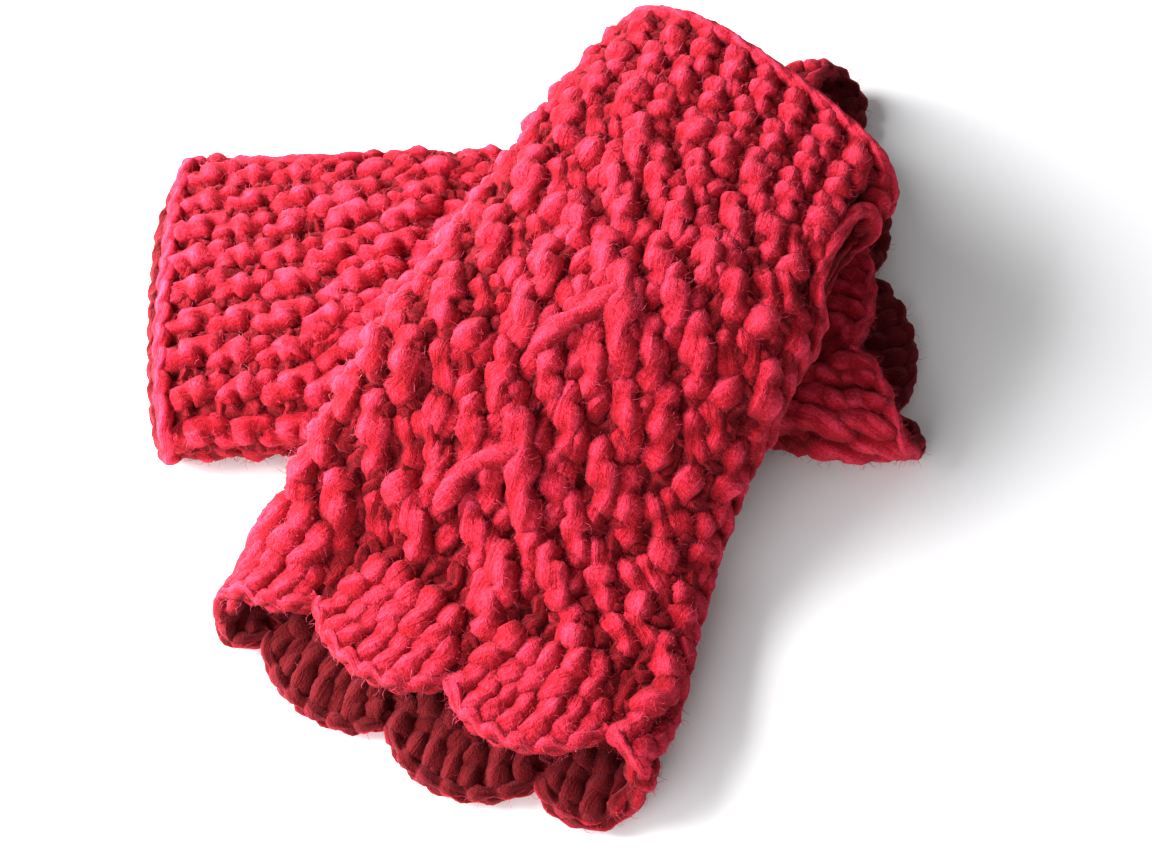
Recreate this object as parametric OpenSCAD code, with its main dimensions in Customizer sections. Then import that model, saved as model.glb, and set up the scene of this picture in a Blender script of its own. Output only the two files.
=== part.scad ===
// A pair of crocheted fingerless gloves, one lying across the other.
// Each glove is a flattened tube of thick fabric. A place on it is named by
// how far it lies from the plain rim (along), by a station round the tube
// (0 and 6 at the seam, 0 to 1 and 5 to 6 the seam side's fold, 1 to 2 the
// upper layer, 2 to 4 the other fold, 4 to 5 the under layer) and by its
// depth from the middle of the fabric, positive outwards.

/* [Fabric] */
// Thickness of the crocheted fabric
fabric_t = 7; // [6.5:0.25:7.5]
// Thickness of the fans, which are worked more loosely
fan_t = 6; // [5:0.5:7]
// Colour of the wool
wool = "crimson"; // [crimson, firebrick, steelblue, dimgray]

/* [Glove] */
// Length from the plain rim to the roots of the fans
tube_len = 176; // [160:1:184]
// Width of the tube lying flat, over the fabric
glove_w = 98; // [90:1:104]
// Height of the side folds, over the fabric
glove_h = 20; // [19:0.5:24]
// How much the upper layer domes over the folds
crown = 5; // [3:0.5:7]
// Extra half width that the lower glove's fan end spreads to
lower_flare = 20; // [8:1:22]
// Extra half width that the upper glove's fan end spreads to
upper_flare = 9; // [6:1:14]
// How far the under layer's fans reach past the middle of the mouth, and the upper layer's fall short
fan_lean = 6; // [0:1:8]
// How far the corners of the plain rim lie back
corner_back = 3; // [0:1:10]
// How much lower the fan end lies than the rest
fan_end_drop = 2; // [0:0.25:2.5]

/* [Plain end] */
// Length of the foundation rim
rim_len = 4; // [3:0.5:5]
// Length of the ribbed cuff
cuff_len = 36; // [30:1:44]
// Height of a rib over the channels beside it
rib_relief = 1.2; // [0.6:0.1:1.6]
// Ribs on each layer of the cuff, beside the four on the folds
layer_ribs = 8; // [7:1:9]

/* [Thumb slit] */
// Distance from the plain rim to the slit
slit_from = 14; // [12:1:18]
// Length of the slit
slit_len = 46; // [40:1:52]
// Width of the edging round the slit
slit_edge_w = 3; // [2:0.5:4]
// How much the folds swell beside the slit, on each side
slit_swell = 2; // [1.5:0.5:3]

/* [Hand] */
// Distance from the plain rim to the knuckle rounds
knuckle_from = 120; // [112:1:128]
// Height of a post stitch over the dips beside it
post_relief = 1.2; // [0.6:0.1:1.6]
// Columns of post stitches on the upper layer
post_columns = 8; // [7:1:9]

/* [Cable] */
// Width of the cable panel
cable_w = 46; // [40:1:54]
// Distance from the plain rim to the cable panel
cable_from = 42; // [40:1:60]
// Length of the cable panel
cable_len = 126; // [100:1:127]
// Height of the panel's ground over the fabric round it
ground_relief = 0.8; // [0.5:0.1:1]
// Height of a cable strand over that ground
strand_relief = 2; // [1:0.25:3]
// Width of a cable strand
strand_w = 9; // [7:0.5:10]

/* [Seam] */
// Height of the sewn stitches over the fabric
seam_relief = 1.5; // [1:0.25:2]
// Length of one sewn stitch along the seam
seam_pitch = 9; // [7:1:12]

/* [Fans] */
// Depth of a fan at its middle
fan_depth = 25; // [20:1:30]
// Fans round the mouth
fan_count = 6; // [5:1:7]
// Depth of a fan at its sides
fan_side = 13; // [8:0.5:17]
// Place of the first fan's middle, in fans from the seam
fan_phase = 0.86; // [0:0.02:1]

/* [Layout] */
// Angle from the lower glove to the upper one, seen from above
crossing = 58; // [50:1:70]
// Place of the upper glove's plain rim along the lower glove
upper_x = 66; // [60:1:72]
// Place of the upper glove's plain rim across the lower glove
upper_y = 46; // [42:1:52]
// How much the upper glove's plain rim is askew, in millimetres of length a millimetre of width
upper_skew = 0.25; // [0:0.05:0.3]
// How far the seam side of the upper glove's fan end is drawn back
upper_tuck = 14; // [6:1:16]
// Distance over which the upper glove comes down to the table at its fan end
near_run = 66; // [56:1:76]
// Distance over which the upper glove comes down at its plain end
far_run = 100; // [80:1:120]

/* [Fits] */
// Gap between worked sections of one glove
seat_gap = 0.3; // [0.25:0.05:0.5]
// Gap between the two gloves where they lie on each other
rest_gap = 0.45; // [0.4:0.05:0.6]

/* [Hidden] */

LOWER = 0;
UPPER = 1;
half_t = fabric_t / 2;
mid_w = glove_w / 2 - half_t;
mid_h = glove_h / 2 - half_t;
full_len = tube_len + fan_depth;
// Clearance along the glove between two ends that slant round a fold
slant_gap = 2 * seat_gap;
slit_end = slit_from + slit_len;
// Where the glove begins to widen towards the fans
flare_from = 0.6 * tube_len;
// Part of the dome that is left at the fans
fan_dome = 0.7;
// Shares of the flare by which the middle of each glove drifts to its seam side
lower_drift = 0.62;
upper_drift = 0.4;
// How much more the seam side of the upper glove's fan end is drawn back than the other side
tuck_bias = 0.35;
// How far the middle of the upper glove lies to its seam side all along
upper_shift = 0.5;
// The lower glove is centred on the origin by its length
lower_x = -full_len / 2;
// Distances in from the lower glove's sides at which the upper one starts to come down
near_inset = 16;
far_inset = 12;
// The plain rim's corners lie back over this length
corner_run = 50;
// Distance over which the upper glove comes down past either end of the lower one
end_run = 60;

// Cells round a quarter fold and across a layer
fold_steps = 4;
layer_steps = 10;
// The slit takes this many cells on each side of the seam
slit_cells = 3;
// Rows of cells along the hand beside the slit and past it, and along the knuckle rounds
slit_rows = 3;
hand_rows = 6;
knuckle_rows = 6;
// Part of its height by which every other post stitch stands over the dips
low_post = 0.3;
// How far past the cable panel the fabric under it stays level
panel_margin = 3;
// Rows and columns of cells on the cable panel
cable_rows = 20;
cable_cols = 14;
// Rows of cells along a fan, and the shares of its half width at which its rounded sides have a point
fan_rows = 3;
fan_corners = [1, 0.97, 0.85];
// Share of its width on either side of the middle where a fan takes the tube's own stations
fan_shared = 0.8;
// Cells along and round the open middle of the slit's edging
edge_rows = 4;
edge_cols = 4;
// Share of its thickness that the plain rim's outer edge is rounded by
rim_round = 0.4;
// Share of a sewn stitch's height that is left between two stitches
seam_dip = 0.4;
fold_cell = 1 / fold_steps;
around = stations_round(layer_steps, layer_steps);
cuff_around = stations_round(4 * layer_ribs, 4 * layer_ribs);
tube_around = stations_round(2 * post_columns, post_columns);

// ---- Curves ----

function is_layer(zone) = zone == 1 || zone == 4;

function stations_round(upper_steps, under_steps) =
  [
    for (zone = [0:5])
      let (steps = zone == 1 ? upper_steps : zone == 4 ? under_steps : fold_steps)
        for (k = [0:steps - 1])
          zone + k / steps
  ];

function smooth(from, to, x) =
  let (t = min(1, max(0, (x - from) / (to - from))))
    t * t * (3 - 2 * t);

function widening(along) = smooth(flare_from, full_len, along);

function flare(glove) = glove == LOWER ? lower_flare : upper_flare;

function half_w(glove, along) = mid_w + flare(glove) * widening(along);

function swell(along) = slit_swell * (1 - smooth(slit_end, slit_end + slit_len, along));

function half_h(along) = mid_h + swell(along) - fan_end_drop / 2 * widening(along);

function dome(along) = crown * (1 - (1 - fan_dome) * widening(along));

// How far the middle of the glove drifts to the seam side
function drift(glove, along) =
  glove == LOWER ?
    lower_drift * lower_flare * widening(along) :
    upper_shift + upper_drift * upper_flare * widening(along);

// How far a place lies along from where its station is at the middle of the glove
function askew(glove, along, place, w, h) =
  let (across = place.x / w, plain = 1 - smooth(0, corner_run, along))
    (glove == UPPER ? upper_skew * place.x * (1 - smooth(0, flare_from, along)) : 0)
    + corner_back * plain * pow(across, 4)
    - (glove == UPPER ? upper_tuck * widening(along) * across * across * (1 - tuck_bias + tuck_bias * across) : 0)
    - fan_lean * widening(along) * place.y / h;

// One point of the cross-section, as [across, up], for a section of half width w and half height h
function section(station, w, h) =
  let (c = station - 6 * floor(station / 6), flat = w - h)
    c < 1 ? [flat + h * cos(90 * c), h * sin(90 * c)] :
    c < 2 ? [flat * (3 - 2 * c), h] :
    c < 4 ? [-flat + h * cos(90 * (c - 1)), h * sin(90 * (c - 1))] :
    c < 5 ? [flat * (2 * c - 9), -h] :
    [flat + h * cos(90 * (c - 2)), h * sin(90 * (c - 2))];

// The station at a distance round the middle of the fabric, starting from the seam
function station_at(reach, w, h) =
  let (
    fold = PI / 2 * h,
    flat = 2 * (w - h),
    lap = 4 * fold + 2 * flat,
    p = reach - lap * floor(reach / lap)
  )
    p < fold ? p / fold :
    p < fold + flat ? 1 + (p - fold) / flat :
    p < 3 * fold + flat ? 2 + (p - fold - flat) / fold :
    p < 3 * fold + 2 * flat ? 4 + (p - 3 * fold - flat) / flat :
    5 + (p - 3 * fold - 2 * flat) / fold;

function girth(w, h) = 2 * PI * h + 4 * (w - h);

// The distance round the middle of the fabric from the seam to a station
function reach_at(station, w, h) =
  let (fold = PI / 2 * h, flat = 2 * (w - h))
    station < 1 ? station * fold :
    station < 2 ? fold + (station - 1) * flat :
    station < 4 ? flat + (station - 1) * fold :
    station < 5 ? 3 * fold + flat + (station - 4) * flat :
    2 * flat + (station - 2) * fold;

// ---- How the upper glove drapes over the lower one ----

function drape(x, y) =
  let (
    along = x - lower_x,
    held = min(full_len, max(0, along)),
    across = y - drift(LOWER, held),
    cable = seat_gap + ground_relief + strand_relief,
    top = 2 * (half_h(held) + half_t) + dome(held) + cable + rest_gap,
    side = half_w(LOWER, held),
    near = side - near_inset,
    far = side - far_inset,
    down = across < 0 ? smooth(near, near + near_run, -across) : smooth(far, far + far_run, across)
  )
    top * (1 - down) * (1 - smooth(full_len, full_len + end_run, along)) * (1 - smooth(0, end_run, -along));

// ---- A point of the fabric ----

function heading(glove) = glove == LOWER ? 0 : 180 + crossing;

function start(glove) = glove == LOWER ? [lower_x, 0] : [upper_x, upper_y];

function fabric_point(glove, along, station, depth) =
  let (
    w = half_w(glove, along) + depth,
    h = half_h(along) + depth,
    place = section(station, w, h),
    bulge = dome(along) * max(0, 1 - pow(place.x / w, 2)) * max(0, place.y / h),
    turn = heading(glove),
    run = along + askew(glove, along, place, w, h),
    across = place.x + drift(glove, along),
    x = start(glove).x + run * cos(turn) - across * sin(turn),
    y = start(glove).y + run * sin(turn) + across * cos(turn),
    lift = glove == UPPER ? drape(x, y) : 0
  )
    [x, y, lift + half_h(along) + half_t + place.y + bulge];

// ---- Solids ----

// A closed solid between two skins, each a grid of rows of points at rising stations, with a rectangle
// of cells left out
module between(outer, inner, closed = false, hole = [0, 0, 0, 0]) {
  rows = len(outer);
  cols = len(outer[0]);
  cells = closed ? cols : cols - 1;
  shift = rows * cols;
  spots = [for (skin = [outer, inner]) for (row = skin) for (p = row) p];
  polyhedron(
    points = spots,
    faces = [
      for (i = [0:rows - 2])
        for (j = [0:cells - 1])
          if (!cut(i, j, hole, cols))
            for (f = cell_faces(i, j, rows, cols, cells, closed, hole, shift))
              f
    ]
  );
}

function cut(i, j, hole, cols) =
  let (k = j >= hole[3] ? j - cols : j)
    i >= hole[0] && i < hole[1] && k >= hole[2] && k < hole[3];

function quad(a, b, c, d) = [[a, c, b], [a, d, c]];

function cell_faces(i, j, rows, cols, cells, closed, hole, shift) =
  let (
    jn = (j + 1) % cols,
    a = i * cols + j,
    b = i * cols + jn,
    c = (i + 1) * cols + jn,
    d = (i + 1) * cols + j,
    before = i == 0 || cut(i - 1, j, hole, cols),
    after = i == rows - 2 || cut(i + 1, j, hole, cols),
    left = closed ? cut(i, (j + cols - 1) % cols, hole, cols) : j == 0 || cut(i, j - 1, hole, cols),
    right = closed ? cut(i, jn, hole, cols) : j == cells - 1 || cut(i, j + 1, hole, cols)
  )
    concat(
      quad(a, b, c, d),
      quad(d + shift, c + shift, b + shift, a + shift),
      before ? quad(a, a + shift, b + shift, b) : [],
      after ? quad(d, c, c + shift, d + shift) : [],
      left ? quad(a, d, d + shift, a + shift) : [],
      right ? quad(c, b, b + shift, c + shift) : []
    );

function skin(glove, alongs, stations, depth) =
  [for (along = alongs) [for (c = stations) fabric_point(glove, along, c, depth)]];

function spread(from, to, steps) = [for (k = [0:steps]) from + (to - from) * k / steps];

// ---- Worked sections of one glove ----

module foundation_rim(glove) {
  depth = half_t - seat_gap;
  bead = [for (t = [0:0.5:1]) [t * (rim_len - slant_gap), depth * (1 - rim_round * (1 - sin(90 * t)))]];
  color(wool)
    between(
      [for (b = bead) [for (c = around) fabric_point(glove, b[0], c, b[1])]],
      [for (b = bead) [for (c = around) fabric_point(glove, b[0], c, -b[1])]],
      closed = true
    );
}

// How deep the channel between two ribs is at a station
function channel(station) =
  let (zone = floor(station), ribs = is_layer(zone) ? layer_ribs : 1)
    rib_relief * (1 - cos(360 * ribs * (station - zone))) / 2;

module ribbed_cuff(glove) {
  rows = [rim_len, slit_from, (slit_from + cuff_len) / 2, cuff_len];
  color(wool)
    between(
      [for (along = rows) [for (c = cuff_around) fabric_point(glove, along, c, half_t - channel(c))]],
      skin(glove, rows, cuff_around, -half_t),
      closed = true,
      hole = [1, 3, -slit_cells, slit_cells]
    );
}

// How far a place on the tube lies below the tops of the post stitches. Tall ones stand in every other row
// of every other column. The seam's fold, the under layer and the fabric under the cable are level.
function post_dip(glove, along, station, row) =
  let (
    column = station < 2 ? (station - 1) * post_columns : station,
    tall = (floor(column) + row) % 2 == 0 ? 1 : low_post,
    place = section(station, half_w(glove, along), half_h(along)),
    past_panel = max(abs(place.x) - cable_w / 2, cable_from - along, along - cable_from - cable_len)
  )
    station < 1 || station >= 4 || past_panel < panel_margin ? 0 :
    post_relief * (1 - tall * sin(180 * (column - floor(column))));

module tube_section(glove, alongs, first_row, hole = [0, 0, 0, 0])
  between(
    [
      for (n = [0:len(alongs) - 1])
        [
          for (c = tube_around)
            fabric_point(glove, alongs[n], c, half_t - post_dip(glove, alongs[n], c, first_row + n))
        ]
    ],
    skin(glove, alongs, tube_around, -half_t),
    closed = true,
    hole = hole
  );

module hand_tube(glove) {
  first = cuff_len + seat_gap;
  past_slit = [for (k = [1:hand_rows]) slit_end + (knuckle_from - slit_end) * k / hand_rows];
  color(wool)
    tube_section(
      glove, concat(spread(first, slit_end, slit_rows), past_slit), 0, [0, slit_rows, -slit_cells, slit_cells]
    );
}

module knuckle_rounds(glove) {
  color(wool)
    tube_section(glove, spread(knuckle_from + seat_gap, tube_len, knuckle_rows), slit_rows + hand_rows);
}

// Distance of a cable strand from the middle of the panel
function strand_place(k, along) =
  let (
    lane = k - 1.5,
    turn = 360 * (along - cable_from) / cable_len,
    side = k % 2 == 0 ? 1 : -1
  )
    (cable_w / 4) * (lane + side * 0.5 * (1 - cos(2 * turn)) / 2);

function cable_relief(along, across) =
  max([
    for (k = [0:3])
      let (t = abs(across - strand_place(k, along)) / (strand_w / 2))
        t < 1 ? sqrt(1 - t * t) : 0
  ]);

module cable_panel(glove) {
  alongs = spread(cable_from, cable_from + cable_len, cable_rows);
  shares = spread(0.5, -0.5, cable_cols);
  stations = [for (share = shares) 1.5 - share * cable_w / (2 * (mid_w - mid_h))];
  base = half_t + seat_gap;
  crest = base + ground_relief + strand_relief;
  color(wool)
    between(
      [
        for (along = alongs)
          [
            for (n = [0:len(shares) - 1])
              fabric_point(
                glove, along, stations[n], crest - strand_relief * (1 - cable_relief(along, shares[n] * cable_w))
              )
          ]
      ],
      skin(glove, alongs, stations, base)
    );
}

module side_seam(glove) {
  first = slit_end + slit_edge_w;
  count = max(4, round((tube_len - first) / seam_pitch));
  stations = [-fold_cell, 0, fold_cell];
  alongs = spread(first, tube_len, 2 * count);
  base = half_t + seat_gap;
  color(wool)
    between(
      [
        for (k = [0:2 * count])
          [for (c = stations) fabric_point(glove, alongs[k], c, base + seam_relief * (k % 2 == 0 ? seam_dip : 1))]
      ],
      skin(glove, alongs, stations, base)
    );
}

module thumb_slit_edge(glove) {
  outside = slit_cells * fold_cell - side_clear(glove_h / 2 - fabric_t);
  inside = outside - slit_edge_w / (PI / 2 * mid_h);
  near_end = slit_from + seat_gap;
  far_end = slit_end - seat_gap;
  alongs = concat([near_end], spread(near_end + slit_edge_w, far_end - slit_edge_w, edge_rows), [far_end]);
  stations = concat([-outside], spread(-inside, inside, edge_cols), [outside]);
  middle = [1, edge_rows + 1, 1, edge_cols + 1];
  depth = half_t - seat_gap;
  color(wool)
    between(skin(glove, alongs, stations, depth), skin(glove, alongs, stations, -depth), hole = middle);
}

// The part of a quarter fold of radius r that the seat gap takes up
function side_clear(r) = seat_gap / (PI / 2 * r);

// How far a fan reaches at a share of its width, from -1 at one side to 1 at the other
function fan_reach(share) = fan_side + (fan_depth - fan_side) * sqrt(max(0, 1 - share * share));

// The places of a fan's columns, as shares of its half width from one side to the other. Between its
// rounded sides they are the tube's own stations, so its root lies flat against the tube.
function fan_shares(middle, half_width, w, h) =
  let (lap = girth(w, h))
    concat(
      [for (corner = fan_corners) -corner],
      [
        for (turn = [-1:1])
          for (station = tube_around)
            let (share = (reach_at(station, w, h) + turn * lap - middle) / half_width)
              if (abs(share) < fan_shared) share
      ],
      [for (n = [len(fan_corners) - 1:-1:0]) fan_corners[n]]
    );

module fan(glove, k) {
  w = half_w(glove, tube_len);
  h = half_h(tube_len);
  width = girth(w, h) / fan_count;
  middle = (k + fan_phase) * width;
  half_width = width / 2 - seat_gap;
  shares = fan_shares(middle, half_width, w, h);
  root = tube_len + slant_gap;
  function layer(depth) =
    [
      for (row = spread(0, 1, fan_rows))
        [
          for (share = shares)
            let (station = station_at(middle + share * half_width, w, h))
              fabric_point(glove, root + row * fan_reach(share), station, depth)
        ]
    ];
  between(layer(half_t), layer(half_t - fan_t));
}

module fan_edging(glove) {
  color(wool)
    for (k = [0:fan_count - 1])
      fan(glove, k);
}

foundation_rim(LOWER);  // lower_foundation_rim
ribbed_cuff(LOWER);  // lower_ribbed_cuff
hand_tube(LOWER);  // lower_hand_tube
knuckle_rounds(LOWER);  // lower_knuckle_rounds
cable_panel(LOWER);  // lower_cable_panel
side_seam(LOWER);  // lower_side_seam
thumb_slit_edge(LOWER);  // lower_thumb_slit_edge
fan_edging(LOWER);  // lower_fan_edging
foundation_rim(UPPER);  // upper_foundation_rim
ribbed_cuff(UPPER);  // upper_ribbed_cuff
hand_tube(UPPER);  // upper_hand_tube
knuckle_rounds(UPPER);  // upper_knuckle_rounds
cable_panel(UPPER);  // upper_cable_panel
side_seam(UPPER);  // upper_side_seam
thumb_slit_edge(UPPER);  // upper_thumb_slit_edge
fan_edging(UPPER);  // upper_fan_edging
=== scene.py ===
"""A pair of crocheted fingerless gloves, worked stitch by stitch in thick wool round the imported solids.

Every strand is a path in the fabric: how far along the glove from the plain rim, which of the twenty
columns of stitches round it, and how deep from the middle of the fabric. The same rules that shape the
solids turn such a path into a curve in space, and Geometry Nodes sweep the wool along it.
"""

import math
from functools import partial
from typing import NamedTuple

import bpy
import numpy as np
from bpy.props import FloatProperty, FloatVectorProperty, IntProperty, PointerProperty
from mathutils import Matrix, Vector


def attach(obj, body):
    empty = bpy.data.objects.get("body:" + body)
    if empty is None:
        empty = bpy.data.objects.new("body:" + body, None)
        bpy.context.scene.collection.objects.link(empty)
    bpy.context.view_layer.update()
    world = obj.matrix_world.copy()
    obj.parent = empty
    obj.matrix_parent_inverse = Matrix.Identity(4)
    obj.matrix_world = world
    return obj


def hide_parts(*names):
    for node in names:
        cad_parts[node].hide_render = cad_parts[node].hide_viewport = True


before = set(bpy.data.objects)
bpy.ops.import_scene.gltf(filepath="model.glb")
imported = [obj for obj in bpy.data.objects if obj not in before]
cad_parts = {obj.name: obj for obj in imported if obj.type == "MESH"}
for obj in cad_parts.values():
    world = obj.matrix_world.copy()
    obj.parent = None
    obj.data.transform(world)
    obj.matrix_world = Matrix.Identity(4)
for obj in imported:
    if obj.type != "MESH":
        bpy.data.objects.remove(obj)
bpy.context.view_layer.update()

bl_info = {
    "name": "Crocheted Fingerless Gloves",
    "version": (1, 0, 0),
    "blender": (4, 5, 0),
    "location": "3D View > Sidebar > Gloves",
    "description": "Builds a pair of crocheted fingerless gloves, stitch by stitch",
    "category": "Add Mesh",
}

LOWER, UPPER = 0, 1
GLOVES = {LOWER: "lower", UPPER: "upper"}
# Columns of stitches round a glove, counted from its seam, and the place of the cable panel's middle
COLUMNS = 20
PANEL_MIDDLE = 5.0
# Columns on each side of the seam that the thumb slit leaves out
SLIT_COLUMNS = 1.05


# ---- Sizes and colours ----


def length(name, default, description):
    return FloatProperty(
        name=name, default=default, description=description, unit="LENGTH", min=0, precision=4
    )


def signed_length(name, default, description):
    return FloatProperty(name=name, default=default, description=description, unit="LENGTH", precision=4)


def amount(name, default, description, top=1.0):
    return FloatProperty(name=name, default=default, description=description, min=0, max=top)


def colour(name, default, description):
    return FloatVectorProperty(
        name=name, default=default, description=description, subtype="COLOR", size=3, min=0, max=1
    )


class GloveSizes(bpy.types.PropertyGroup):
    """Sizes of the gloves as they lie"""

    fabric_t: length("Fabric", 0.007, "Thickness of the crocheted fabric")
    tube_len: length("Tube length", 0.176, "Length from the plain rim to the roots of the fans")
    glove_w: length("Width", 0.098, "Width of the tube lying flat")
    glove_h: length("Fold height", 0.020, "Height of the side folds")
    crown: length("Crown", 0.005, "How much the upper layer domes over the folds")
    lower_flare: length("Lower flare", 0.020, "Extra half width that the lower glove's fan end spreads to")
    upper_flare: length("Upper flare", 0.009, "Extra half width that the upper glove's fan end spreads to")
    fan_lean: length("Fan lean", 0.006, "How far the under layer's fans reach past the middle of the mouth")
    corner_back: length("Corner", 0.003, "How far the corners of the plain rim lie back")
    fan_end_drop: length("Fan end drop", 0.002, "How much lower the fan end lies than the rest")
    rim_len: length("Rim", 0.004, "Length of the foundation rim")
    cuff_len: length("Cuff", 0.036, "Length of the ribbed cuff")
    slit_from: length("Slit from", 0.014, "Distance from the plain rim to the thumb slit")
    slit_len: length("Slit length", 0.046, "Length of the thumb slit")
    slit_edge_w: length("Slit edging", 0.003, "Width of the edging round the slit")
    slit_swell: length("Slit swell", 0.002, "How much the folds swell beside the slit")
    cable_w: length("Cable width", 0.046, "Width of the cable panel")
    cable_from: length("Cable from", 0.042, "Distance from the plain rim to the cable panel")
    cable_len: length("Cable length", 0.126, "Length of the cable panel")
    cable_rise: length("Cable rise", 0.0028, "Height of the cable over the fabric round it")
    fan_depth: length("Fan depth", 0.025, "Depth of a fan at its middle")
    fan_side: length("Fan side", 0.013, "Depth of a fan at its sides")
    fan_count: IntProperty(name="Fans", default=6, min=3, max=9, description="Fans round the mouth")
    fan_phase: amount("Fan phase", 0.86, "Place of the first fan's middle, in fans from the seam")
    crossing: FloatProperty(
        name="Crossing", default=math.radians(58), subtype="ANGLE", description="Angle between the gloves"
    )
    upper_x: signed_length("Upper along", 0.066, "Place of the upper glove's rim along the lower one")
    upper_y: signed_length("Upper across", 0.046, "Place of the upper glove's rim across the lower one")
    upper_skew: amount("Upper skew", 0.25, "How much the upper glove's plain rim is askew")
    upper_tuck: length("Upper tuck", 0.014, "How far the seam side of the upper fan end is drawn back")
    near_run: length("Near run", 0.066, "Distance over which the upper glove comes down at its fan end")
    far_run: length("Far run", 0.100, "Distance over which the upper glove comes down at its plain end")
    rest_gap: length("Rest gap", 0.00045, "Gap between the gloves where they lie on each other")
    row_len: length("Row", 0.0184, "Length of one row of stitches")


class WoolLook(bpy.types.PropertyGroup):
    """Colours, spin and fluff of the wool"""

    # Painted shade and painted highlight: the wool runs to the deep tint between the stitches, low on its
    # strands and in the ply grooves, and to the bright tint towards the outside of the glove; its mottle
    # reaches both
    deep: colour("Deep", (0.095, 0.0006, 0.0016), "Colour of the wool between the stitches")
    mid: colour("Middle", (0.37, 0.0048, 0.0132), "Colour of the wool")
    bright: colour("Bright", (0.86, 0.046, 0.112), "Colour of the wool where its fibres stand up")
    ring_step: length("Ring step", 0.0012, "Distance between the rings of a strand's mesh")
    sides: IntProperty(name="Sides", default=12, min=6, max=24, description="Sides of a strand's mesh")
    plies: IntProperty(name="Plies", default=4, min=2, max=6, description="Plies that the yarn is spun from")
    ply_relief: amount("Ply relief", 0.050, "How deep the grooves between the plies are")
    twist: length("Twist", 0.050, "Length over which the plies go round once")
    lump_scale: amount("Lump scale", 420.0, "How fine the unevenness of the yarn is", top=4000.0)
    lumps: length("Lumps", 0.0012, "Height of the unevenness of the yarn")
    fuzz_density: amount("Fuzz density", 250000.0, "Loose fibres on a square metre of yarn", top=1000000.0)
    fuzz_length: length("Fuzz length", 0.0028, "Length of the longest loose fibres")
    fuzz_radius: length("Fuzz radius", 0.000085, "Half the thickness of a loose fibre")
    sheen: amount("Sheen", 0.15, "Sheen of the loose fibres")
    glow: amount("Glow", 0.40, "How much of the light passes through the outer fibres")


# ---- The fabric's shape ----


def smooth(start, end, x):
    """0 up to start, 1 from end on, and smooth between them."""
    t = np.clip((x - start) / (end - start), 0, 1)
    return t * t * (3 - 2 * t)


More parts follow.
